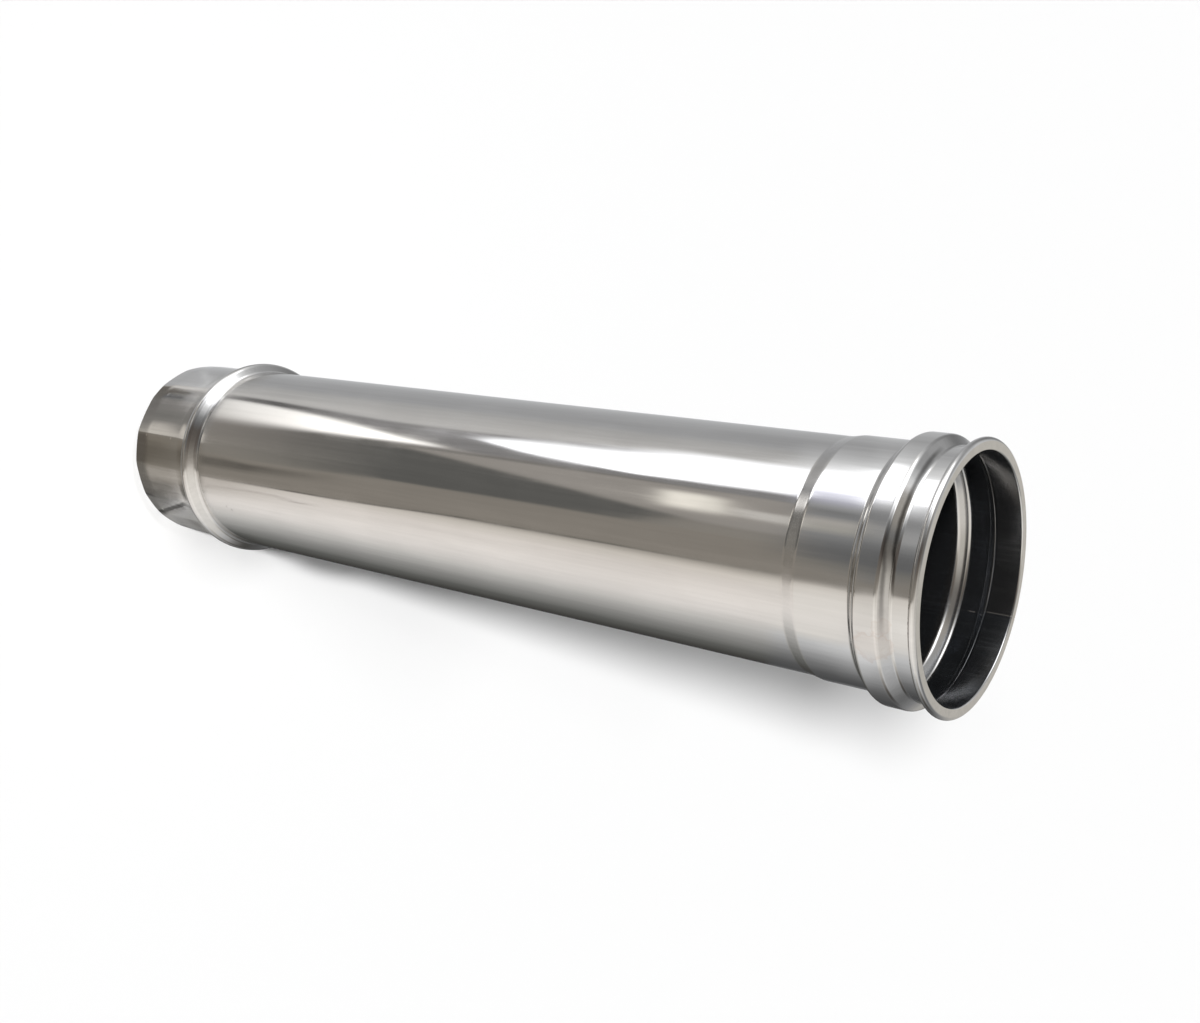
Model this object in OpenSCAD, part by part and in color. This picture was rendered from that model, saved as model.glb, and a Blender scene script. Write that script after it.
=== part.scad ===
// Single-wall chimney flue pipe, one seam-welded and roll-formed sheet.
// It stands on the plain end of its spigot, with the socket upwards, as it is
// installed in a chimney. Millimetres, +Z along the pipe towards the socket,
// origin in the middle of the spigot's end plane.
//
// The whole wall is one sheet of constant thickness. It is drawn as the line
// midway through the sheet, with a bend radius at each corner, and both skins
// of the sheet are that line set off by half the thickness.

/* [Pipe] */
// Inside diameter of the plain pipe, the nominal size
nominal_bore = 113; // [80:1:200]
// Thickness of the sheet
sheet = 0.6; // [0.4:0.1:0.8]
// Length that one pipe adds to a run, from the stop bead to the rim
effective_length = 500; // [250:10:1000]

/* [Spigot] */
// Plain length of the spigot below the stop bead
spigot_length = 52; // [40:1:60]
// Length of the tapered lead-in at the spigot's end
lead_in = 10; // [6:1:20]
// How far the lead-in draws the end in, on the radius
lead_in_depth = 0.5; // [0.2:0.1:1]

/* [Stop bead] */
// Height of the stop bead above the plain pipe
bead_height = 5.2; // [4:0.1:6]
// Axial distance between the bead's two feet
bead_foot = 12.6; // [12:0.2:16]
// Axial width of the bead's crown, before rounding
bead_crown = 4.2; // [3:0.2:5]
// Bend radius of the bead, at the middle of the sheet
bead_bend = 3.8; // [1.4:0.1:4]

/* [Socket] */
// Gap between a spigot and the socket around it, on the radius
socket_gap = 0.6; // [0.3:0.1:1]
// Depth of the socket, from the rim to the foot of its first shoulder
socket_depth = 65.6; // [60:0.2:80]
// Axial length of the first shoulder
shoulder = 6.2; // [4:0.2:8]
// Height of the gasket bead above the collar
groove_height = 4.9; // [3:0.1:6]
// Distance from the rim to the inner foot of the gasket bead
groove_end = 32.2; // [28:0.2:36]
// Axial length of the gasket bead's inner flank
groove_flank = 4; // [3:0.1:5]
// Axial length of the gasket bead's flat crest
groove_crest = 10.4; // [9:0.2:13]
// Axial length of the gasket bead's outer flank
groove_front = 4.6; // [2.6:0.1:5]
// Bend radius of the gasket bead, at the middle of the sheet
groove_bend = 2.5; // [1:0.1:2.6]

/* [Rim] */
// Outside diameter of the rolled rim, above the nominal size
rim_over = 14; // [14:0.5:18]
// Radius of the rolled edge, at the middle of the sheet
curl = 1.6; // [1:0.05:1.7]
// Bend radius where the mouth turns outwards into the rim
rim_bend = 0.8; // [0.7:0.1:1.6]

/* [Hidden] */
steps = 6;                                  // chords in each bend
r_pipe = nominal_bore / 2 + sheet / 2;      // middle of the sheet, plain pipe
r_tip = r_pipe - lead_in_depth;
r_bead = r_pipe + bead_height;
r_collar = r_pipe + sheet + socket_gap;
r_groove = r_collar + groove_height;
r_rim = nominal_bore / 2 + rim_over / 2 - sheet / 2;
rim_z = spigot_length + effective_length;
top_z = rim_z - sheet / 2;                  // middle of the sheet in the rim
bead_z = spigot_length + bead_foot / 2 + 0.6;
groove_z = rim_z - groove_end;

function unit(v) = v / norm(v);

// One bend of the middle line: arc points, each with the sheet's own normal.
// a, b, c are the corner and its neighbours, as [radius, height].
function bend(a, b, c, r) =
    let (u = unit(a - b), w = unit(c - b),
         turn = u[0] * w[1] - u[1] * w[0],
         half = acos(u * w) / 2,
         start = b + u * r / tan(half),
         mid = b + unit(u + w) * r / sin(half),
         a0 = atan2(start[1] - mid[1], start[0] - mid[0]),
         sweep = (turn > 0 ? -1 : 1) * (180 - 2 * half))
    [for (i = [0 : steps])
        let (t = a0 + sweep * i / steps, n = [cos(t), sin(t)])
        [mid + n * r, turn > 0 ? n * -1 : n]];

// The stop bead's two upper bends meet at most in the middle of its crown.
bead_turn = atan(bead_height / (bead_foot - bead_crown) * 2);
bead_r = min(bead_bend, bead_crown / 2.02 / tan(bead_turn / 2));

// Corners of the middle line from the spigot's end to the curled edge, each
// as [radius, height, bend radius].
corners = [
    [r_tip, 0, 0],
    [r_pipe, lead_in, 20],
    [r_pipe, bead_z - bead_foot / 2, bead_r],
    [r_bead, bead_z - bead_crown / 2, bead_r],
    [r_bead, bead_z + bead_crown / 2, bead_r],
    [r_pipe, bead_z + bead_foot / 2, bead_r],
    [r_pipe, rim_z - socket_depth, 7],
    [r_collar, rim_z - socket_depth + shoulder, 7],
    [r_collar, groove_z, groove_bend],
    [r_groove, groove_z + groove_flank, groove_bend],
    [r_groove, groove_z + groove_flank + groove_crest, groove_bend],
    [r_collar, groove_z + groove_flank + groove_crest + groove_front, groove_bend],
    [r_collar, top_z, rim_bend],
    [r_rim, top_z, curl],
    [r_rim, top_z - 2 * curl - 0.02, curl],
    [r_rim - 2 * curl - 0.02, top_z - 2 * curl - 0.02, curl],
    [r_rim - 2 * curl - 0.02, top_z - curl + 0.2, 0]
];

function at(i) = [corners[i][0], corners[i][1]];
last = len(corners) - 1;
// Outward normal of a straight stretch, on the skin that faces away from the duct.
function side(i, j) = let (v = unit(at(j) - at(i))) [v[1], -v[0]];
line = concat(
    [[at(0), side(0, 1)]],
    [for (i = [1 : last - 1]) each bend(at(i - 1), at(i), at(i + 1), corners[i][2])],
    [[at(last), side(last - 1, last)]]);
half_sheet = sheet / 2;
outer_skin = [for (p = line) p[0] + p[1] * half_sheet];
inner_skin = [for (k = [len(line) - 1 : -1 : 0]) line[k][0] - line[k][1] * half_sheet];
// The spigot's end is cut square, so both skins start at height 0.
section = concat(
    [[r_tip + half_sheet, 0]],
    [for (k = [1 : len(outer_skin) - 1]) outer_skin[k]],
    [for (k = [0 : len(inner_skin) - 2]) inner_skin[k]],
    [[r_tip - half_sheet, 0]]);

module flue_pipe() {
    color([0.72, 0.71, 0.69])
        rotate_extrude($fn = 180) polygon(section);
}

flue_pipe();
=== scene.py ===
import math

import bpy
from mathutils import Matrix, Vector, noise


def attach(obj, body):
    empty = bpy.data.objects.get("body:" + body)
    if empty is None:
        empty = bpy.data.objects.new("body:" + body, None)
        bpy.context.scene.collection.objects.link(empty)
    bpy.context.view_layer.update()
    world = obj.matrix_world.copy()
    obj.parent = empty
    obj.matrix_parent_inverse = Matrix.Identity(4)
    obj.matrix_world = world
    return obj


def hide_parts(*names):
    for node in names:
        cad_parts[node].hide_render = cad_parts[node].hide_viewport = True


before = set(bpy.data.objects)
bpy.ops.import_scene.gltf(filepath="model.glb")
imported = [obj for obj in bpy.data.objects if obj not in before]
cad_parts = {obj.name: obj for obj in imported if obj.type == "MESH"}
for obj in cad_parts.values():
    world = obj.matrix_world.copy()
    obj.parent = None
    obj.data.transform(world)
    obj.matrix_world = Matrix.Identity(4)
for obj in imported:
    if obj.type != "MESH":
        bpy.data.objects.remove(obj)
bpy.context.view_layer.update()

scene = bpy.context.scene
scene.view_settings.view_transform = "Standard"
scene.view_settings.look = "None"
scene.view_settings.exposure = 0.0
scene.view_settings.gamma = 1.0

MM = 0.001


# ---------------------------------------------------------------- camera
# The pipe stands on its end, so the camera is rolled: the picture's right is
# mostly the pipe's +Z, as the pipe lies in the photograph.
cam_data = bpy.data.cameras.new("camera")
cam_data.sensor_fit = "HORIZONTAL"
cam_data.sensor_width = 36.0
cam_data.lens = 39.09
cam_data.clip_start = 0.01
cam_data.clip_end = 100.0
cam = bpy.data.objects.new("camera", cam_data)
scene.collection.objects.link(cam)
forward = Vector((0.0, 0.80418, -0.59439)).normalized()
right = Vector((-0.1670, 0.58604, 0.79288))
right = (right - forward * right.dot(forward)).normalized()
up = right.cross(forward)
cam.matrix_world = Matrix((
    (right.x, up.x, -forward.x, -0.00213),
    (right.y, up.y, -forward.y, -0.56333),
    (right.z, up.z, -forward.z, 0.75860),
    (0.0, 0.0, 0.0, 1.0)))
scene.camera = cam


# ---------------------------------------------------------------- the sheet's section
# The same middle line as the CAD source, in millimetres, with finer bends.
SHEET = 0.6
R_PIPE = 56.8
R_TIP = 56.3
R_BEAD = 62.0
R_COLLAR = 58.0
R_GROOVE = 62.9
R_RIM = 63.2
RIM_Z = 552.0
TOP_Z = RIM_Z - SHEET / 2
BEAD_Z = 58.9
GROOVE_Z = RIM_Z - 32.2
CURL = 1.6
CORNERS = [  # radius, height, bend radius, chords in the bend
    (R_TIP, 0.0, 0.0, 0),
    (R_PIPE, 10.0, 150.0, 6),
    (R_PIPE, BEAD_Z - 6.3, 3.8, 9),
    (R_BEAD, BEAD_Z - 2.1, 3.8, 9),
    (R_BEAD, BEAD_Z + 2.1, 3.8, 9),
    (R_PIPE, BEAD_Z + 6.3, 3.8, 9),
    (R_PIPE, RIM_Z - 65.6, 7.0, 5),
    (R_COLLAR, RIM_Z - 59.4, 7.0, 5),
    (R_COLLAR, GROOVE_Z, 2.5, 9),
    (R_GROOVE, GROOVE_Z + 4.0, 2.5, 9),
    (R_GROOVE, GROOVE_Z + 14.4, 2.5, 9),
    (R_COLLAR, GROOVE_Z + 19.0, 2.5, 9),
    (R_COLLAR, TOP_Z, 0.5, 8),
    (R_RIM, TOP_Z, CURL, 10),
    (R_RIM, TOP_Z - 2 * CURL - 0.02, CURL, 8),
    (R_RIM - 2 * CURL - 0.02, TOP_Z - 2 * CURL - 0.02, CURL, 8),
    (R_RIM - 2 * CURL - 0.02, TOP_Z - CURL + 0.2, 0.0, 0),
]


def middle_line():
    """Points of the sheet's middle line with the outward normal at each."""
    pts = []
    n = len(CORNERS)
    for i, (r, z, bend, chords) in enumerate(CORNERS):
        b = Vector((r, z))
        if i == 0 or i == n - 1:
            a = Vector(CORNERS[i - 1][:2]) if i else b
            c = Vector(CORNERS[i + 1][:2]) if i < n - 1 else b
            v = (c - a).normalized()
            pts.append((b, Vector((v.y, -v.x))))
            continue
        u = (Vector(CORNERS[i - 1][:2]) - b).normalized()
        w = (Vector(CORNERS[i + 1][:2]) - b).normalized()
        turn = u.x * w.y - u.y * w.x
        half = math.acos(max(-1.0, min(1.0, u.dot(w)))) / 2
        start = b + u * (bend / math.tan(half))
        mid = b + (u + w).normalized() * (bend / math.sin(half))
        a0 = math.atan2(start.y - mid.y, start.x - mid.x)
        sweep = (-1 if turn > 0 else 1) * (math.pi - 2 * half)
        for k in range(chords + 1):
            t = a0 + sweep * k / chords
            d = Vector((math.cos(t), math.sin(t)))
            pts.append((mid + d * bend, -d if turn > 0 else d))
    return pts


def fill(pts, step):
    """Adds evenly spaced points on long straight stretches."""
    out = [pts[0]]
    for (p, n), (q, m) in zip(pts, pts[1:]):
        gap = (q - p).length
        k = int(gap / step)
        if k >= 1:
            for j in range(1, k + 1):
                f = j / (k + 1)
                out.append((p.lerp(q, f), n.lerp(m, f).normalized()))
        out.append((q, m))
    return out


# ---------------------------------------------------------------- small errors of form
def smooth(a, b, x):
    t = max(0.0, min(1.0, (x - a) / (b - a)))
    return t * t * (3 - 2 * t)


# The spigot's end was sized by a segmented tool, which left it with flats: the
# angles of the ridges between them, in degrees round the pipe.
RIDGES = [-162, -142, -122, -102, -82, -62, -41, -29, -4, 17, 40, 58, 78, 98, 119, 139, 160, 180, 198]
SEAM = 165.5  # where the butt weld runs along the pipe


def flats(deg):
    """Depth below the circle, for a radius of 1, of fully flat facets."""
    deg = (deg + 162) % 360 - 162
    for a, b in zip(RIDGES, RIDGES[1:]):
        if a <= deg <= b:
            c, h = math.radians(deg - (a + b) / 2), math.radians(b - a) / 2
            return (c * c - h * h) / 2
    return 0.0


def wave(phi, z):
    """How far the sheet stands proud of the true section, in millimetres, at
    an angle round the pipe and a height. Rolled thin sheet is never quite
    round or flat, and it is drawn in a little beside each rolled bead."""
    x, y = math.cos(phi), math.sin(phi)
    w = 0.0
    if 66 < z < 486:
        body = smooth(66, 90, z) * (1 - smooth(462, 486, z))
        w += 0.11 * body * noise.noise(Vector((x * 1.3, y * 1.3, z / 170)))
        w += 0.030 * body * noise.noise(Vector((x * 3.3 + 7, y * 3.3, z / 70)))
        near = 0.35 + math.exp(-(z - 66) / 45) + 0.5 * math.exp(-(486 - z) / 25)
        w += 0.011 * body * near * noise.noise(Vector((x * 8.0, y * 8.0 + 3, z / 34)))
        w += 0.02 * math.exp(-(z - 66) / 9) * smooth(66, 68, z)
    elif z <= 52:
        deg = math.degrees(phi) + 90
        flat = sum(flats(deg + d) for d in (-1.6, -0.8, 0.0, 0.8, 1.6)) / 5
        part = (0.50 - 0.25 * smooth(0, 46, z)) * (1 - smooth(46, 52, z))
        turned = deg if deg < 180 else deg - 360
        part *= (0.45 + 0.55 * smooth(-62, -44, turned)) * (1 - 0.4 * smooth(54, 66, turned))
        w += R_TIP * part * flat
        # a crease that runs slantwise from the end towards the stop bead
        fold = (turned - (57.2 - 0.36 * z)) / 2.2
        w -= 0.07 * math.exp(-fold * fold) * (1 - smooth(44, 50, z))
        w += 0.022 * (1 - smooth(44, 52, z)) * noise.noise(Vector((x * 4, y * 4, z / 16 + 9)))
    elif 492 < z < 520:
        w += 0.03 * smooth(492, 498, z) * (1 - smooth(514, 520, z)) * noise.noise(Vector((x * 4, y * 4 + 5, z / 30)))
    return w


def build_pipe():
    line = fill(middle_line(), 8.5)
    half = SHEET / 2
    outer = [(p + n * half, n) for p, n in line]
    inner = [(p - n * half, -n) for p, n in reversed(line)]
    outer[0] = (Vector((R_TIP + half, 0.0)), outer[0][1])
    inner[-1] = (Vector((R_TIP - half, 0.0)), inner[-1][1])
    loop = outer + inner
    count = len(loop)
    seam = math.radians(SEAM - 90)
    angles = sorted({round(2 * math.pi * k / 240, 6) for k in range(240)}
                    | {round(seam + math.radians(d), 6) for d in (-0.66, -0.44, -0.22, 0.0, 0.22, 0.44, 0.66)})

    def bulge(phi, z):
        """The ground weld stands two hundredths proud of the sheet's sides."""
        d = (phi - seam) / math.radians(0.35)
        return 0.02 * math.exp(-d * d) * (1 - smooth(546, 551, z))

    eps, dz = 2e-3, 0.2
    verts, norms = [], []
    for phi in angles:
        c, s = math.cos(phi), math.sin(phi)
        for p, n in loop:
            side = bulge(phi, p.y)
            r, z = p.x + wave(phi, p.y) + n.x * side, p.y + n.y * side
            verts.append(Vector((r * c, r * s, z)) * MM)
            around = (wave(phi + eps, p.y) - wave(phi - eps, p.y)) / (2 * eps) * n.x
            around += (bulge(phi + eps, p.y) - bulge(phi - eps, p.y)) / (2 * eps)
            along = (wave(phi, p.y + dz) - wave(phi, p.y - dz)) / (2 * dz)
            v = Vector((c * n.x + s * around / p.x, s * n.x - c * around / p.x, n.y - n.x * along))
            norms.append(v.normalized())
    faces = []
    segs = len(angles)
    for k in range(segs):
        a, b = k * count, ((k + 1) % segs) * count
        for j in range(count):
            j2 = (j + 1) % count
            faces.append((a + j, b + j, b + j2, a + j2))
    me = bpy.data.meshes.new("flue_pipe_sheet")
    me.from_pydata(verts, [], faces)
    me.validate()
    # the duct's side of the sheet, from the rim's face downwards, is the
    # second material; the rim's face and its roll belong to the outside
    last_out = len(outer)
    first_in = next(j for j in range(last_out, count)
                    if loop[j][1].y < 0.35 and loop[j][0].x < R_COLLAR and loop[j][0].y > 540)
    loop_normals = []
    for poly in me.polygons:
        poly.use_smooth = True
        rows = {me.loops[i].vertex_index % count for i in poly.loop_indices}
        cut = rows == {last_out - 1, last_out} or rows == {count - 1, 0}
        if min(rows) >= first_in and not cut:
            poly.material_index = 1
        for i in poly.loop_indices:
            loop_normals.append(poly.normal.copy() if cut else norms[me.loops[i].vertex_index])
    me.normals_split_custom_set([tuple(n) for n in loop_normals])
    me.update()
    print("pipe", count, "rows", segs, "columns", 2 * count * segs, "triangles")
    ob = bpy.data.objects.new("flue_pipe_sheet", me)
    scene.collection.objects.link(ob)
    return ob


# ---------------------------------------------------------------- node helpers
class Tree:
    def __init__(self, tree):
        self.tree = tree
        self.nodes = tree.nodes
        self.links = tree.links
        self.nodes.clear()

    def new(self, kind, **props):
        n = self.nodes.new(kind)
        for k, v in props.items():
            setattr(n, k, v)
        return n

    def put(self, socket, value):
        if isinstance(value, bpy.types.NodeSocket):
            self.links.new(value, socket)
        else:
            socket.default_value = value

    def math(self, op, a, b=0.0, c=None, clamp=False):
        n = self.new("ShaderNodeMath", operation=op, use_clamp=clamp)
        self.put(n.inputs[0], a)
        self.put(n.inputs[1], b)
        if c is not None:
            self.put(n.inputs[2], c)
        return n.outputs[0]

    def ramp(self, x, a, b, lo=0.0, hi=1.0, smooth=True):
        n = self.new("ShaderNodeMapRange")
        n.interpolation_type = "SMOOTHSTEP" if smooth else "LINEAR"
        n.clamp = True
        self.put(n.inputs["Value"], x)
        self.put(n.inputs["From Min"], a)
        self.put(n.inputs["From Max"], b)
        self.put(n.inputs["To Min"], lo)
        self.put(n.inputs["To Max"], hi)
        return n.outputs["Result"]

    def path(self, x, points):
        """A value that follows straight lines through (x, y) points."""
        out = points[0][1]
        for (x0, y0), (x1, y1) in zip(points, points[1:]):
            out = self.math("ADD", self.ramp(x, x0, x1, 0.0, y1 - y0, smooth=False), out)
        return out

    def mix(self, fac, a, b):
        n = self.new("ShaderNodeMix", data_type="RGBA")
        self.put(n.inputs[0], fac)
        self.put(n.inputs[6], a)
        self.put(n.inputs[7], b)
        return n.outputs[2]


def linear(v):
    v /= 255.0
    return v / 12.92 if v <= 0.04045 else ((v + 0.055) / 1.055) ** 2.4


STEEL = (0.66, 0.65, 0.635)


def shown(r, g=None, b=None):
    """Light that a steel mirror shows as this display colour."""
    g = r if g is None else g
    b = g if b is None else b
    return tuple(linear(v) / s for v, s in zip((r, g, b), STEEL)) + (1.0,)


# ---------------------------------------------------------------- studio light
# The studio is a soft panorama that only reflections see. Its directions are
# given as the place on the plain pipe where the camera sees them mirrored:
# u, the angle round the pipe from the side that faces the camera, in degrees,
# and h, the height along the pipe in millimetres. Directions that point
# upwards, beyond any height, are told by their z.
def studio(world):
    t = Tree(world.node_tree)
    out = t.new("ShaderNodeOutputWorld")
    coord = t.new("ShaderNodeTexCoord")
    sep = t.new("ShaderNodeSeparateXYZ")
    t.links.new(coord.outputs["Generated"], sep.inputs[0])
    x, y, z = sep.outputs[0], sep.outputs[1], sep.outputs[2]
    phi = t.math("ARCTAN2", x, t.math("MULTIPLY", y, -1.0))
    u = t.math("MULTIPLY", phi, 57.29578 / 2.11)
    left_half = t.ramp(u, -90, 0, smooth=False)
    right_half = t.ramp(u, 0, 90, smooth=False)
    over = t.math("GREATER_THAN", u, 0.0)
    zc = t.math("MINIMUM", t.math("MAXIMUM", z, -0.98), 0.98)
    flat = t.math("SQRT", t.math("SUBTRACT", 1.0, t.math("MULTIPLY", zc, zc)))
    h = t.math("ADD", t.math("MULTIPLY", t.math("DIVIDE", zc, flat), 506.5), 758.6)
    # the pipe mirrors a direction to the side lower down than one in front
    low = t.math("SUBTRACT", h, t.path(t.math("ABSOLUTE", u), [(0, 0), (15, 3), (30, 12), (44, 24), (52, 33), (60, 42.5), (68, 53), (77, 62)]))

    def round_the_pipe(stops):
        """Light by the angle u, from (angle, display colour) stops. Each side
        of u = 0 has a colour ramp of its own."""
        lit = [(at, shown(*col) if isinstance(col, tuple) else shown(col)) for at, col in stops]
        below_0 = [s for s in lit if s[0] < 0]
        above_0 = [s for s in lit if s[0] >= 0]
        (a, c), (b, d) = below_0[-1], above_0[0]
        middle = (0.0, tuple(p + (q - p) * -a / (b - a) for p, q in zip(c, d)))
        sides = []
        for part, x in ((below_0 + [middle], left_half), ([middle] + above_0, right_half)):
            ramp = t.new("ShaderNodeValToRGB")
            ramp.color_ramp.interpolation = "LINEAR"
            el = ramp.color_ramp.elements
            while len(el) > 1:
                el.remove(el[-1])
            for i, (at, col) in enumerate(part):
                place = at / 90 + (1 if x is left_half else 0)
                e = el[0] if i == 0 else el.new(place)
                e.position = place
                e.color = col
            t.links.new(x, ramp.inputs[0])
            sides.append(ramp.outputs[0])
        return t.mix(over, sides[0], sides[1])

    def between(lo, hi, soft_lo, soft_hi):
        """1 where the angle lies between two edges, each a number or a path."""
        a, b, soft_a, soft_b = (t.path(h, v) if isinstance(v, list) else v for v in (lo, hi, soft_lo, soft_hi))
        up_ = t.ramp(t.math("DIVIDE", t.math("SUBTRACT", u, a), soft_a), -1.0, 1.0)
        down = t.ramp(t.math("DIVIDE", t.math("SUBTRACT", u, b), soft_b), -1.0, 1.0, 1.0, 0.0)
        return t.math("MULTIPLY", up_, down)

    def along(a, b, soft_a, soft_b, top=1.0):
        return t.math("MULTIPLY", t.ramp(h, a - soft_a, a + soft_a, 0.0, top),
                      t.ramp(h, b - soft_b, b + soft_b, 1.0, 0.0))

    def lay(mask, colour):
        nonlocal env
        env = t.mix(mask, env, shown(*colour) if isinstance(colour[0], (int, float)) else colour)

    # ---- what the plain pipe mirrors
    env = round_the_pipe([
        (-88, 108), (-84, 204), (-80, 180), (-76, 161), (-68, 155), (-60, 149), (-56, 147),
        (-52, 151), (-48, (160, 159, 157)), (-40, (176, 174, 171)), (-36, (178, 176, 173)),
        (-20, (126, 121, 116)), (12, (132, 127, 118)), (16, (196, 189, 180)), (21, (212, 205, 198)),
        (30, (221, 215, 209)), (36, (213, 208, 203)), (44, (177, 175, 171)), (52, (134, 133, 130)),
        (62, (87, 87, 84)), (70, (63, 62, 59)), (75, (52, 51, 49)), (79, 60), (83, 90), (88, 108)])
    # the dim side of the room, between the two bright sides
    lay(t.math("MULTIPLY", between(-21, [(60, 4), (150, 3), (230, 0.5), (400, 0), (430, -6)], 1.2, 0.8),
               t.ramp(h, 60, 250)), (88, 87, 84))
    # paler wall that comes in above it to the right
    lay(t.math("MULTIPLY", between(-20.5, [(240, -20), (300, -15.5), (350, -11.5), (400, -8), (440, -5)], 0.8, 1.0),
               along(235, 900, 25, 10)), (144, 139, 133))
    # the wall's lower part
    lay(between([(60, 3), (150, 3), (230, 0.5), (500, -1)], [(60, 17.4), (200, 16.6), (300, 13.2), (490, 11.6)], 1.0, 0.6),
        (128, 122, 114))
    lay(t.math("MULTIPLY", between([(60, 4), (120, 6), (200, 2)], [(60, 11), (120, 10), (200, 5)], 1.0, 2.0),
               t.ramp(h, 130, 210, 1.0, 0.0)), (92, 88, 82))
    # upper lights: a dark gap, then the two long lamps
    lay(between([(60, -38.6), (130, -38.4), (180, -36.4), (230, -34.6), (300, -35.0), (420, -38.5), (500, -39)],
                [(60, -35.8), (120, -34.8), (180, -32.2), (220, -28.6), (255, -25.8), (300, -22.0), (500, -20.0)],
                [(80, 2.4), (110, 0.9)], 0.6), (124, 122, 121))
    lay(t.math("MULTIPLY", between([(60, -35.6), (120, -34.0), (180, -31.4), (220, -27.4), (250, -24.6), (300, -22.3)],
                                   [(60, -20.5), (120, -20.2), (160, -20.8), (200, -21.4), (250, -22.6), (300, -22.2)],
                                   [(70, 2.6), (100, 1.3), (160, 1.0)], [(80, 5.0), (130, 3.6), (190, 1.0)]),
               t.math("MULTIPLY", along(60, 268, 10, 12),
                      t.path(h, [(66, 0.14), (80, 0.30), (100, 0.42), (130, 0.50), (165, 0.72), (195, 1.0)]))),
        (300, 296, 290))
    lay(t.math("MULTIPLY", between([(285, -31.2), (300, -32.0), (330, -33.6), (380, -34.4), (430, -38.6), (500, -38.6)],
                                   [(285, -31.2), (300, -30.2), (330, -26.4), (360, -24.8), (400, -23.2), (430, -23.8), (500, -24.4)],
                                   [(300, 2.0), (350, 3.6), (500, 3.0)], [(290, 0.6), (420, 0.6), (440, 1.2)]),
               along(300, 1200, 12, 10)), (310, 310, 312))
    # the gap is narrowest and darkest near the stop bead
    lay(t.math("MULTIPLY", between([(90, -38.4), (180, -36.4)], [(90, -35.6), (130, -35.0), (180, -32.8)], 0.7, 0.4),
               along(104, 168, 12, 24, 0.85)), (72, 71, 70))
    # small lamps low on the right
    lay(t.math("MULTIPLY", between(-17.5, -10, 1.5, 2.0), along(418, 452, 8, 10)), (246, 240, 228))
    lay(t.math("MULTIPLY", between(-13.8, -10.2, 1.0, 1.0), along(462, 496, 8, 4)), (188, 184, 178))
    # thin dark edges between the wall and the bright table
    lay(t.math("MULTIPLY", between([(60, 17.5), (200, 16.1), (300, 13.1), (500, 11.7)],
                                   [(60, 18.3), (200, 16.9), (300, 13.9), (500, 12.4)], 0.25, 0.25),
               t.path(h, [(60, 0.9), (330, 0.9), (420, 0.6)])), (72, 69, 64))
    lay(t.math("MULTIPLY", between([(66, 29.0), (80, 24.8), (101, 22.6), (135, 20.8), (166, 23.3), (191, 21.2)],
                                   [(66, 29.9), (80, 25.7), (101, 23.4), (135, 21.5), (166, 23.9), (191, 21.6)], 0.25, 0.4),
               along(60, 180, 6, 22, 0.85)), (92, 88, 82))
    # duller light near the stop bead
    lay(t.math("MULTIPLY", between(17, 28, 2.0, 5.0), t.ramp(h, 66, 180, 0.55, 0.0)), (158, 151, 142))
    lay(t.math("MULTIPLY", between(58, 92, 7.0, 1.0), t.ramp(low, 66, 100, 0.75, 0.0)), (46, 45, 43))
    lay(t.math("MULTIPLY", between(-92, -44, 1.0, 5.0), t.ramp(low, 62, 82, 0.85, 0.0)), (134, 132, 128))

    # ---- what the socket's collar, the gasket bead's crest and the mouth mirror
    collar = round_the_pipe([
        (-88, 110), (-84, 194), (-80, 176), (-76, 158), (-68, 155), (-60, 150), (-55, 158), (-50, 173),
        (-46, 188), (-42, 214), (-39.5, 244), (-36.5, (308, 308, 312)), (-29.5, (306, 306, 312)), (-26.5, (222, 222, 234)),
        (-23.5, (172, 172, 182)), (-20.5, 146), (-18.4, 112), (-16.5, 126), (-14, (166, 162, 156)), (-11, (158, 155, 148)),
        (-8, 124), (-5, 108), (-2, 95), (1, 95), (4, (113, 110, 104)), (7, (124, 119, 112)), (12.5, (123, 118, 111)),
        (14.5, (202, 196, 188)), (20, (218, 213, 206)), (30, (222, 217, 211)), (37, (214, 210, 204)), (42, 186),
        (48, 153), (55, 112), (64, 80), (72, 66), (80, 84), (88, 110)])
    crest = round_the_pipe([
        (-88, 110), (-84, 194), (-78, 168), (-72, 164), (-66, 156), (-60, 157), (-54, 171), (-48, 192),
        (-44, 216), (-41.5, (310, 310, 312)), (-25.6, (310, 310, 312)), (-22.8, 196), (-20, 138), (-17, 122),
        (-12, 127), (-9, 118), (-6, 104), (-3, 92), (0, 88), (3, 98), (6, 111), (9, (126, 121, 114)),
        (11.2, (150, 145, 138)), (13.5, (199, 193, 186)), (18, (207, 202, 195)), (25, (215, 210, 204)),
        (36, (211, 208, 204)), (41, 204), (45, 186), (49, 166), (54, 136), (60, 102), (66, 77), (72, 64), (76, 92), (82, 104), (88, 110)])
    mouth = round_the_pipe([
        (-88, 110), (-84, 194), (-80, 176), (-76, 160), (-68, 158), (-60, 153), (-54, 166), (-48, 186),
        (-44, 206), (-41.5, 226), (-40.2, (310, 310, 312)), (-28.2, (310, 310, 312)), (-26.2, 186),
        (-20.5, 152), (-18.6, 124), (-15, 140), (-10, 152), (-8, 123), (-5, 106), (-2, 94), (1, 96), (4, (113, 110, 104)),
        (7, (124, 119, 112)), (11.6, (124, 119, 112)), (13.2, (204, 198, 190)), (24, (219, 215, 209)), (34, (215, 211, 205)),
        (41, 187), (48, 154), (56, 108), (62, 84), (68, 68), (74, 62), (80, 88), (88, 110)])
    env = t.mix(t.ramp(h, 487, 492), env, collar)
    env = t.mix(t.ramp(h, 521, 525), env, crest)
    env = t.mix(t.ramp(h, 535, 539), env, mouth)

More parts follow.
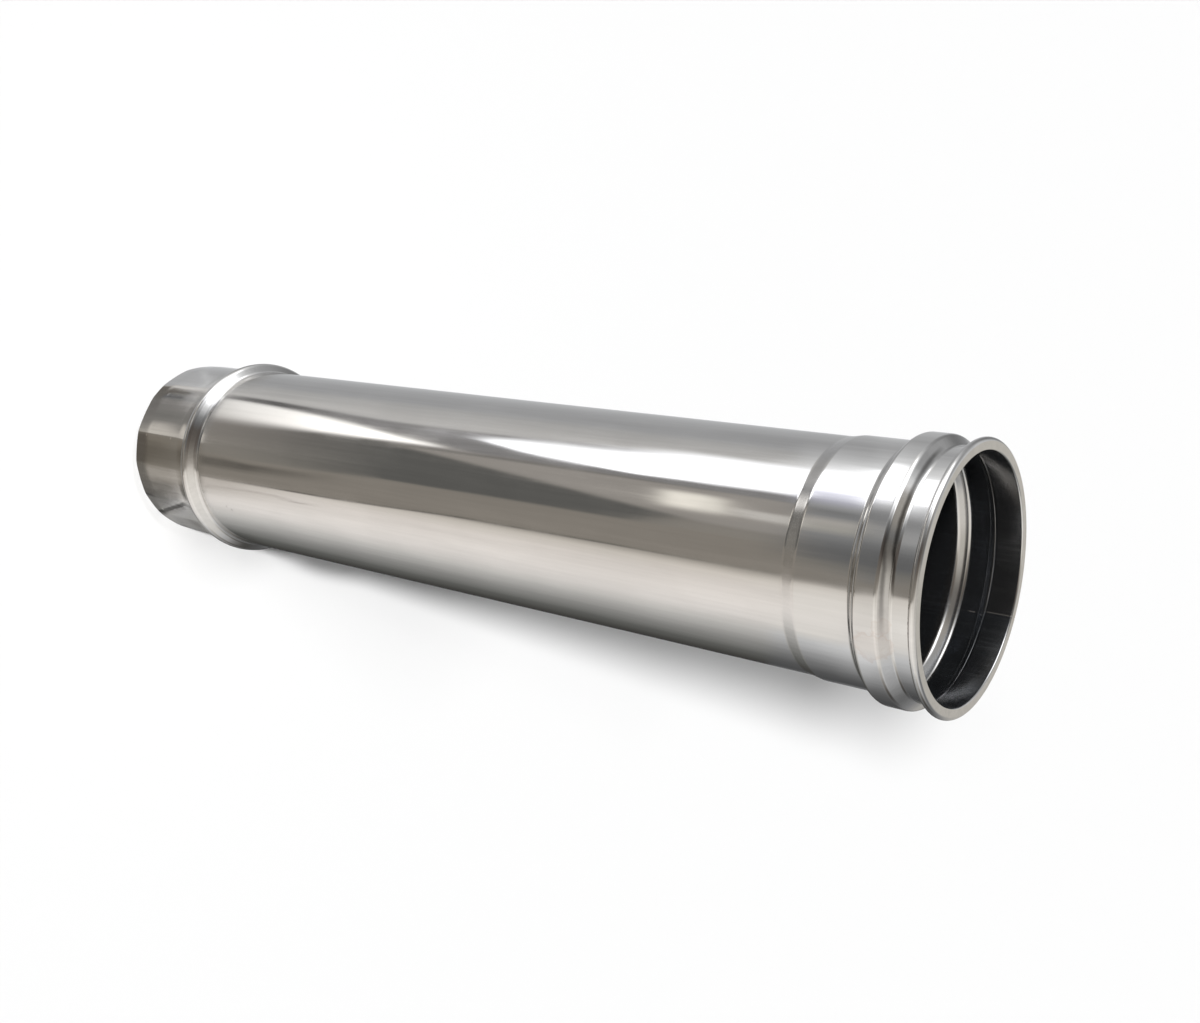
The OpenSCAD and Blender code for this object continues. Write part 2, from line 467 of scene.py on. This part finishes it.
    # ---- what the spigot mirrors
    spigot = round_the_pipe([
        (-88, 112), (-84, 210), (-78, 186), (-72, 160), (-58, 156), (-50, 161), (-45, 166), (-42, (180, 176, 171)),
        (-39.4, (194, 190, 185)), (-37.6, (186, 182, 177)), (-36.6, (124, 119, 113)), (-35.6, (96, 91, 85)), (-34.4, (97, 93, 88)),
        (-33.2, 112), (-32.4, 86), (-31.4, 104), (-27, (120, 117, 114)), (-22, (123, 120, 117)), (-17, (115, 113, 109)), (-13, (121, 118, 114)),
        (-3.2, (121, 117, 110)), (-1.6, (124, 116, 107)), (2.4, (116, 109, 99)), (5.2, (96, 90, 81)), (8, (92, 86, 77)),
        (12, (104, 98, 89)), (17, (116, 110, 101)), (21, (130, 124, 115)), (25, (154, 148, 139)), (27, (140, 134, 126)),
        (29.5, (104, 100, 94)), (33, (95, 92, 87)), (38, (100, 98, 94)), (43, (104, 102, 98)), (46, (112, 110, 107)), (49, (124, 122, 119)),
        (54, (146, 144, 140)), (60, (146, 144, 141)), (68, (136, 134, 131)), (74, (120, 119, 117)), (80, 98), (88, 112)])
    tip = round_the_pipe([
        (-88, 112), (-84, 200), (-76, 168), (-60, 162), (-44, 160), (-41.6, (150, 146, 141)), (-40.4, (98, 94, 89)),
        (-30, (102, 99, 95)), (-22, (108, 105, 102)), (-15, (118, 115, 111)), (-11, (150, 146, 139)), (-4, (158, 152, 144)),
        (-2.4, (104, 98, 90)), (3, (88, 82, 75)), (14, (84, 79, 72)), (20, (96, 92, 85)), (28, (102, 98, 92)),
        (38, (92, 89, 85)), (43, (66, 64, 62)), (48, (104, 102, 99)), (52, (104, 102, 99)), (57, (56, 55, 53)), (63, (124, 122, 119)),
        (74, (148, 146, 143)), (84, 130), (88, 112)])
    lower = env
    env = spigot
    # a bright wedge that ends in a sharp edge, and the pale far side
    lay(between([(0, -13.4), (44, -8.4)], -3.0, [(0, 1.6), (44, 1.0)], 0.5), (194, 188, 179))
    lay(t.math("MULTIPLY", between(-1.4, 17.5, 0.8, 4.0), t.ramp(h, 8, 34)), (119, 113, 103))
    lay(t.math("MULTIPLY", between(-37.0, -27.0, 0.6, 2.5), t.ramp(low, 18, 36)), (42, 41, 39))
    lay(t.math("MULTIPLY", between(33.5, 43.0, 1.5, 1.5), t.ramp(low, 24, 42, 0.0, 0.8)), (66, 64, 61))
    lay(t.math("MULTIPLY", between(57, 92, 3.0, 1.0), t.ramp(low, 22, 30)), (98, 96, 93))
    lay(t.math("MULTIPLY", between(41, 92, 3.0, 1.0), t.ramp(low, 36, 42)), (166, 164, 160))
    env = t.mix(t.ramp(low, -110, -4), tip, env)
    env = t.mix(t.ramp(low, 46, 52.5), env, lower)
    # the stop bead's crown
    crown = round_the_pipe([
        (-88, 110), (-80, 170), (-72, 172), (-64, 170), (-56, 192), (-48, 226), (-40, 240), (-32, 226), (-24, 200),
        (-19, 160), (-14, 138), (-8, 114), (0, 104), (8, (102, 99, 94)), (16, (119, 115, 109)), (21, (164, 160, 153)),
        (26, (184, 180, 174)), (33, (198, 195, 190)), (40, 207), (48, 199), (56, 157), (64, 118), (72, 80), (80, 74), (88, 110)])
    env = t.mix(t.math("MULTIPLY", t.ramp(h, 54, 58), t.ramp(h, 61, 64.5, 1.0, 0.0)), env, crown)

    # ---- the floor's side, straight down
    below = round_the_pipe([
        (-88, 114), (-80, 128), (-75, 158), (-68, 168), (-60, 180), (-52, 176), (-43, 158), (-33, 144), (-23, 133),
        (-12, 121), (0, (111, 108, 104)), (12, (103, 100, 95)), (23, (120, 116, 110)), (34, (128, 124, 118)),
        (43, (144, 141, 136)), (52, (176, 173, 168)), (60, (184, 181, 177)), (68, 151), (75, 112), (80, 100), (88, 114)])
    env = t.mix(t.ramp(h, -210, -360), env, below)

    # ---- upwards
    above = round_the_pipe([
        (-90, (174, 170, 162)), (-81, (170, 166, 158)), (-76, 124), (-70, 106), (-62, 122), (-57, 138), (-52, 154),
        (-48, 190), (-46.4, 206), (-43.8, (300, 300, 302)), (-24.5, (306, 306, 308)), (-22, (246, 246, 248)),
        (-19, 186), (-16, 132), (-13, (114, 112, 110)), (-9.5, (90, 85, 81)), (-6.5, (77, 71, 67)), (-3, (87, 81, 76)),
        (0, (97, 91, 85)), (4, (112, 106, 99)), (7, (120, 114, 106)),
        (10.6, (134, 129, 121)), (12.4, (206, 201, 193)), (15, (220, 215, 207)), (20, (230, 225, 218)),
        (28, (228, 223, 217)), (34, (221, 217, 212)), (39, (212, 209, 204)), (43, (175, 172, 167)), (48, (135, 132, 127)),
        (53, (87, 84, 80)), (58, (64, 62, 59)), (64, 82), (70, 120), (76, (160, 157, 151)), (83, (174, 170, 162)), (90, (174, 170, 162))])
    env = t.mix(t.ramp(z, -0.33, -0.02), env, above)
    # steeper, the floor's white edge reaches further round
    upper = round_the_pipe([
        (-90, (174, 170, 162)), (-82, (174, 170, 163)), (-78, 184), (-70, 180), (-62, 152), (-56, 142), (-51, 150), (-47, 190),
        (-44, 226), (-41.5, (292, 292, 294)), (-26, (296, 296, 298)), (-23, 214), (-19.5, 170), (-16.5, 122), (-13, 100),
        (-9, (80, 75, 71)), (-3, (86, 80, 75)), (2, (98, 92, 86)), (7, (126, 120, 112)), (10, (150, 144, 136)),
        (13, (192, 186, 178)), (18, (213, 208, 200)), (26, (219, 214, 207)), (33, (213, 209, 203)), (40, (206, 203, 198)),
        (45, (198, 195, 190)), (50, 184), (55, 160), (60, 130), (65, 108), (71, 100), (76, 130), (82, (168, 164, 157)),
        (90, (174, 170, 162))])
    env = t.mix(t.ramp(z, 0.12, 0.46), env, upper)
    # a dim stretch between the lamp that the socket mirrors and the one above it
    lay(t.math("MULTIPLY", between(-49, -28.8, 2.0, 2.0),
               t.math("MULTIPLY", t.ramp(z, -0.385, -0.345), t.ramp(z, -0.16, -0.10, 1.0, 0.0))), (214, 212, 209))
    # higher up the lamp has ended
    high = round_the_pipe([
        (-88, (170, 166, 158)), (-84, 150), (-76, 148), (-68, 160), (-60, 156), (-53, 146), (-44, (150, 146, 141)),
        (-35, (152, 148, 142)), (-27, (134, 130, 124)), (-20, 104), (-13, (92, 89, 84)), (-5, (106, 101, 95)),
        (0, (128, 123, 115)), (5, (154, 149, 141)), (12, (182, 177, 169)), (20, (193, 188, 181)), (35, (198, 193, 187)),
        (48, (197, 193, 188)), (57, (190, 187, 183)), (68, (186, 183, 178)), (80, (180, 176, 169)), (88, (170, 166, 158))])
    env = t.mix(t.ramp(z, 0.71, 0.80), env, high)
    zenith = t.mix(t.ramp(x, -0.14, 0.20), shown(104, 101, 97), shown(176, 172, 165))
    env = t.mix(t.ramp(z, 0.90, 0.96), env, zenith)

    bg_gloss = t.new("ShaderNodeBackground")
    t.put(bg_gloss.inputs[0], env)
    bg_plain = t.new("ShaderNodeBackground")
    bg_plain.inputs[0].default_value = (1.0, 1.0, 1.0, 1.0)
    lp = t.new("ShaderNodeLightPath")
    t.put(bg_plain.inputs[1], t.math("ADD", t.math("MULTIPLY", lp.outputs["Is Camera Ray"], 0.91), 0.075))
    mixer = t.new("ShaderNodeMixShader")
    t.links.new(lp.outputs["Is Glossy Ray"], mixer.inputs[0])
    t.links.new(bg_plain.outputs[0], mixer.inputs[1])
    t.links.new(bg_gloss.outputs[0], mixer.inputs[2])
    t.links.new(mixer.outputs[0], out.inputs[0])


world = bpy.data.worlds.new("studio")
world.use_nodes = True
scene.world = world
studio(world)

# Soft lamps far behind the camera. They lay one wide soft shadow on the floor
# away from the camera, close along the pipe's lower side in the picture.
for i, (azimuth, elevation, strength, angle) in enumerate([
        (8.0, 19, 0.49, 5), (8.8, 23, 4.12, 5), (9.0, 28, 1.87, 5), (15.0, 42, 0.14, 5),
        (18.0, 65, 0.46, 12), (40.0, 86, 0.50, 3)]):
    data = bpy.data.lights.new(f"lamp_{i}", "SUN")
    data.energy = strength
    data.angle = math.radians(angle)
    lamp = bpy.data.objects.new(f"lamp_{i}", data)
    lamp.visible_glossy = False
    scene.collection.objects.link(lamp)
    a, e = math.radians(azimuth), math.radians(elevation)
    way = Vector((math.sin(a) * math.cos(e), math.cos(a) * math.cos(e), -math.sin(e)))
    lamp.rotation_euler = way.to_track_quat("-Z", "Y").to_euler()


# ---------------------------------------------------------------- floor
def build_floor():
    me = bpy.data.meshes.new("floor")
    s = 12.0
    me.from_pydata([(-s, -s, 0), (s, -s, 0), (s, s, 0), (-s, s, 0)], [], [(0, 1, 2, 3)])
    ob = bpy.data.objects.new("floor", me)
    scene.collection.objects.link(ob)
    mat = bpy.data.materials.new("floor_paper")
    mat.use_nodes = True
    t = Tree(mat.node_tree)
    out = t.new("ShaderNodeOutputMaterial")
    d = t.new("ShaderNodeBsdfDiffuse")
    d.inputs[0].default_value = (0.80, 0.80, 0.80, 1.0)
    t.links.new(d.outputs[0], out.inputs[0])
    me.materials.append(mat)
    ob.visible_glossy = False
    return ob


build_floor()


# ---------------------------------------------------------------- steel
def places(t):
    """The point's place on the pipe: metres, degrees round it, millimetres up."""
    coord = t.new("ShaderNodeTexCoord")
    sep = t.new("ShaderNodeSeparateXYZ")
    t.links.new(coord.outputs["Object"], sep.inputs[0])
    x, y, z = sep.outputs[0], sep.outputs[1], sep.outputs[2]
    deg = t.math("MULTIPLY", t.math("ARCTAN2", x, t.math("MULTIPLY", y, -1.0)), 57.29578)
    return x, y, z, deg, t.math("MULTIPLY", z, 1000.0)


def stretched(t, x, y, z, across, up, detail=2.0):
    """Noise with its own size round the pipe and along it, in metres."""
    at = t.new("ShaderNodeCombineXYZ")
    t.put(at.inputs[0], t.math("DIVIDE", x, across))
    t.put(at.inputs[1], t.math("DIVIDE", y, across))
    t.put(at.inputs[2], t.math("DIVIDE", z, up))
    n = t.new("ShaderNodeTexNoise")
    n.inputs["Scale"].default_value = 1.0
    n.inputs["Detail"].default_value = detail
    t.links.new(at.outputs[0], n.inputs["Vector"])
    return n.outputs["Fac"]


def weld_mask(t, deg, half_mm):
    return t.ramp(t.math("ABSOLUTE", t.math("SUBTRACT", deg, SEAM)), half_mm * 0.5, half_mm, 1.0, 0.0)


def outside_steel():
    mat = bpy.data.materials.new("polished_steel")
    mat.use_nodes = True
    t = Tree(mat.node_tree)
    out = t.new("ShaderNodeOutputMaterial")
    p = t.new("ShaderNodeBsdfPrincipled")
    x, y, z, deg, up_mm = places(t)
    drawn = stretched(t, x, y, z, 0.0016, 0.060)     # fine lines along the pipe from rolling
    cloud = stretched(t, x, y, z, 0.022, 0.050, 3.0)  # blotchy polish
    streak = stretched(t, x, y, z, 0.0045, 0.150)     # long faint bands along the pipe
    lo = tuple(0.925 * c for c in STEEL) + (1.0,)
    hi = tuple(1.045 * c for c in STEEL) + (1.0,)
    tone = t.math("ADD", t.math("MULTIPLY", t.ramp(drawn, 0.36, 0.64), 0.20),
                  t.math("MULTIPLY", t.ramp(cloud, 0.34, 0.66), 0.45))
    tone = t.math("ADD", tone, t.math("MULTIPLY", t.ramp(streak, 0.34, 0.66), 0.35))
    colour = t.mix(tone, lo, hi)

    def lay(mask, rgb):
        nonlocal colour
        colour = t.mix(mask, colour, rgb + (1.0,))

    def blot(at_deg, at_mm, size_deg, size_mm, edge=0.5):
        """1 inside an oval place on the sheet, with an uneven edge."""
        a = t.math("DIVIDE", t.math("SUBTRACT", deg, at_deg), size_deg)
        b = t.math("DIVIDE", t.math("SUBTRACT", up_mm, at_mm), size_mm)
        d = t.math("SQRT", t.math("ADD", t.math("MULTIPLY", a, a), t.math("MULTIPLY", b, b)))
        return t.math("ADD", d, t.math("MULTIPLY", t.math("SUBTRACT", fine, 0.5), edge))

    fine = stretched(t, x, y, z, 0.0035, 0.0035, 3.0)
    # a dried reddish stain on the socket, darker along its edge
    for at, size, strength in (((33.5, 531.5), (5.6, 8.0), 1.0), ((25.0, 536.0), (3.2, 3.0), 0.7)):
        d = blot(at[0], at[1], size[0], size[1], 1.5)
        rim = t.math("MULTIPLY", t.ramp(d, 0.72, 1.0), t.ramp(d, 1.0, 1.22, 1.0, 0.0))
        lay(t.math("MULTIPLY", rim, 0.20 * strength), (0.50, 0.36, 0.29))
        lay(t.ramp(d, 0.7, 1.1, 0.14 * strength, 0.0), (0.56, 0.46, 0.40))
    # small tool marks in a row under the rim
    row = t.ramp(t.math("ABSOLUTE", t.math("SUBTRACT", up_mm, 548.7)), 0.25, 0.6, 1.0, 0.0)
    tick = stretched(t, x, y, z, 0.0011, 0.004, 1.0)
    span = t.math("MULTIPLY", t.ramp(deg, 6, 10), t.ramp(deg, 36, 44, 1.0, 0.0))
    lay(t.math("MULTIPLY", t.math("MULTIPLY", row, span), t.ramp(tick, 0.54, 0.60, 0.0, 0.75)), (0.16, 0.13, 0.11))
    # the crease in the spigot with painted shade along it, and pale specks on one of its ridges painted as glints
    past = t.math("SUBTRACT", deg, t.ramp(up_mm, 0, 50, 57.2, 39.2, smooth=False))
    past = t.math("ADD", past, t.math("MULTIPLY", t.math("SUBTRACT", fine, 0.5), 1.6))
    lay(t.math("MULTIPLY", t.ramp(t.math("ABSOLUTE", past), 0.6, 2.4, 0.86, 0.0), t.ramp(up_mm, 38, 48, 1.0, 0.0)), (0.09, 0.086, 0.082))
    # painted shade: a dark patch beside the crease
    shade = t.math("MULTIPLY", t.ramp(past, -1.0, 1.0), t.ramp(t.math("ADD", past, t.math("MULTIPLY", up_mm, 0.22)), 3.5, 7.0, 1.0, 0.0))
    lay(t.math("MULTIPLY", shade, 0.6), (0.12, 0.115, 0.11))
    # painted glints: pale specks on the spigot's ridges
    for at, size in (((-2.2, 10.2), (0.9, 0.9)), ((-2.4, 36.5), (0.8, 0.8)), ((-32.5, 13.5), (1.6, 1.2)), ((52.5, 9.0), (1.0, 1.4))):
        lay(t.ramp(blot(at[0], at[1], size[0], size[1], 0.8), 0.5, 1.1, 0.7, 0.0), (0.95, 0.94, 0.92))
    # painted shade in the valley in front of the gasket bead: one dark line along its foot, and a shorter one that runs
    # out to a point
    for where, strong, half in (
            ([(-70, 537.4), (-18, 537.5), (-6, 537.8), (1, 538.9), (12, 539.3)],
             [(-66, 0), (-56, 0.62), (-40, 0.66), (-20, 0.84), (-4, 0.86), (6, 0.7), (14, 0.0)], 0.75),
            ([(-20, 534.3), (-6, 534.7), (1, 535.8), (20, 536.2)],
             [(-22, 0), (-12, 0.55), (-2, 0.6), (10, 0.62), (20, 0.4), (31, 0.0)], 0.85)):
        away = t.math("ABSOLUTE", t.math("SUBTRACT", up_mm, t.path(deg, where)))
        away = t.math("ADD", away, t.math("MULTIPLY", t.math("SUBTRACT", fine, 0.5), 0.5))
        lay(t.math("MULTIPLY", t.ramp(away, 0.1, half * 1.5, 1.0, 0.0), t.path(deg, strong)), (0.07, 0.066, 0.062))
    # two nicks and a scratch
    for at, size in (((38.0, 94.0), (1.1, 0.9)), ((36.2, 89.8), (1.6, 0.7))):
        lay(t.ramp(blot(at[0], at[1], size[0], size[1], 1.2), 0.5, 1.1, 0.35, 0.0), (0.30, 0.28, 0.26))
    # the weld, a dull line with a straw heat tint beside it
    lay(t.math("MULTIPLY", weld_mask(t, deg, 4.0), 0.18), (0.58, 0.51, 0.41))
    lay(t.math("MULTIPLY", weld_mask(t, deg, 0.55), 0.5), (0.52, 0.51, 0.49))
    shoulder = t.math("MULTIPLY", t.ramp(up_mm, 485.2, 488.2), t.ramp(up_mm, 490.6, 493.6, 1.0, 0.0))
    # painted shade: the shoulder is darkened on one side, from -56 to -12 degrees round the pipe
    lay(t.math("MULTIPLY", shoulder, t.path(deg, [(-56, 0), (-40, 0.5), (-20, 0.5), (-12, 0.0)])), (0.30, 0.295, 0.29))
    t.put(p.inputs["Base Color"], colour)
    p.inputs["Metallic"].default_value = 1.0
    rough = t.math("ADD", t.ramp(cloud, 0.36, 0.70, 0.065, 0.115), t.ramp(drawn, 0.45, 0.70, 0.0, 0.02))
    rough = t.math("ADD", rough, t.math("MULTIPLY", weld_mask(t, deg, 0.6), 0.22))
    # the shoulder was rolled after polishing, so it is a little duller
    rough = t.math("ADD", rough, t.math("MULTIPLY", shoulder, 0.12))
    t.put(p.inputs["Roughness"], rough)
    bump = t.new("ShaderNodeBump")
    bump.inputs["Strength"].default_value = 1.0
    bump.inputs["Distance"].default_value = 0.0000022
    t.links.new(drawn, bump.inputs["Height"])
    t.links.new(bump.outputs[0], p.inputs["Normal"])
    t.links.new(p.outputs[0], out.inputs[0])
    return mat


def inside_steel():
    mat = bpy.data.materials.new("duct_side_steel")
    mat.use_nodes = True
    t = Tree(mat.node_tree)
    out = t.new("ShaderNodeOutputMaterial")
    p = t.new("ShaderNodeBsdfPrincipled")
    x, y, z, deg, up_mm = places(t)
    drawn = stretched(t, x, y, z, 0.0016, 0.060)
    cloud = stretched(t, x, y, z, 0.020, 0.030, 3.0)
    # painted shade: darker the deeper in the duct; painted light: the flank that the mouth shows is lighter
    colour = t.mix(t.ramp(up_mm, 500, 516), (0.35, 0.355, 0.37, 1.0), (0.41, 0.43, 0.46, 1.0))
    colour = t.mix(t.ramp(up_mm, 534, 539), colour, (0.495, 0.495, 0.50, 1.0))
    cool = t.math("MULTIPLY", t.ramp(deg, 90, 110), t.ramp(deg, 164.8, 165.8, 1.0, 0.0))
    colour = t.mix(t.math("MULTIPLY", cool, t.ramp(up_mm, 505, 530, 0.0, 0.8)), colour, (0.42, 0.455, 0.50, 1.0))
    # painted highlight: a paler ring inside the gasket bead, 515 to 526 mm up
    ring = t.math("MULTIPLY", t.ramp(up_mm, 515, 519), t.ramp(up_mm, 523.5, 526, 1.0, 0.0))
    colour = t.mix(ring, colour, (0.62, 0.605, 0.58, 1.0))
    # painted shade: a thin dark line round the inside at 522.9 mm
    line = t.ramp(t.math("ABSOLUTE", t.math("SUBTRACT", up_mm, 522.9)), 0.2, 0.9, 0.62, 0.0)
    colour = t.mix(line, colour, (0.20, 0.19, 0.18, 1.0))
    colour = t.mix(t.ramp(cloud, 0.3, 0.7, 0.0, 0.16), colour, (0.56, 0.56, 0.56, 1.0))
    # the weld, ground flush, shows as a faint pale line near the mouth
    shows = t.math("MULTIPLY", weld_mask(t, deg, 0.36),
                   t.math("ADD", t.ramp(up_mm, 538, 540.5, 0.06, 0.55),
                          t.math("MULTIPLY", t.ramp(t.math("ABSOLUTE", t.math("SUBTRACT", up_mm, 530.5)), 1.4, 2.4, 1.0, 0.0), 0.5)))
    colour = t.mix(shows, colour, (0.64, 0.57, 0.50, 1.0))
    t.put(p.inputs["Base Color"], colour)
    t.put(p.inputs["Metallic"], t.ramp(shows, 0.0, 1.0, 0.991, 0.93, smooth=False))
    rough = t.math("ADD", t.ramp(cloud, 0.3, 0.7, 0.13, 0.19), t.ramp(drawn, 0.45, 0.70, 0.0, 0.03))
    rough = t.math("SUBTRACT", rough, t.math("MULTIPLY", ring, 0.06))
    t.put(p.inputs["Roughness"], t.math("ADD", rough, t.math("MULTIPLY", shows, 0.2)))
    t.links.new(p.outputs[0], out.inputs[0])
    return mat


pipe = build_pipe()
pipe.data.materials.append(outside_steel())
pipe.data.materials.append(inside_steel())
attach(pipe, "root")
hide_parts("flue_pipe")

bpy.context.view_layer.update()
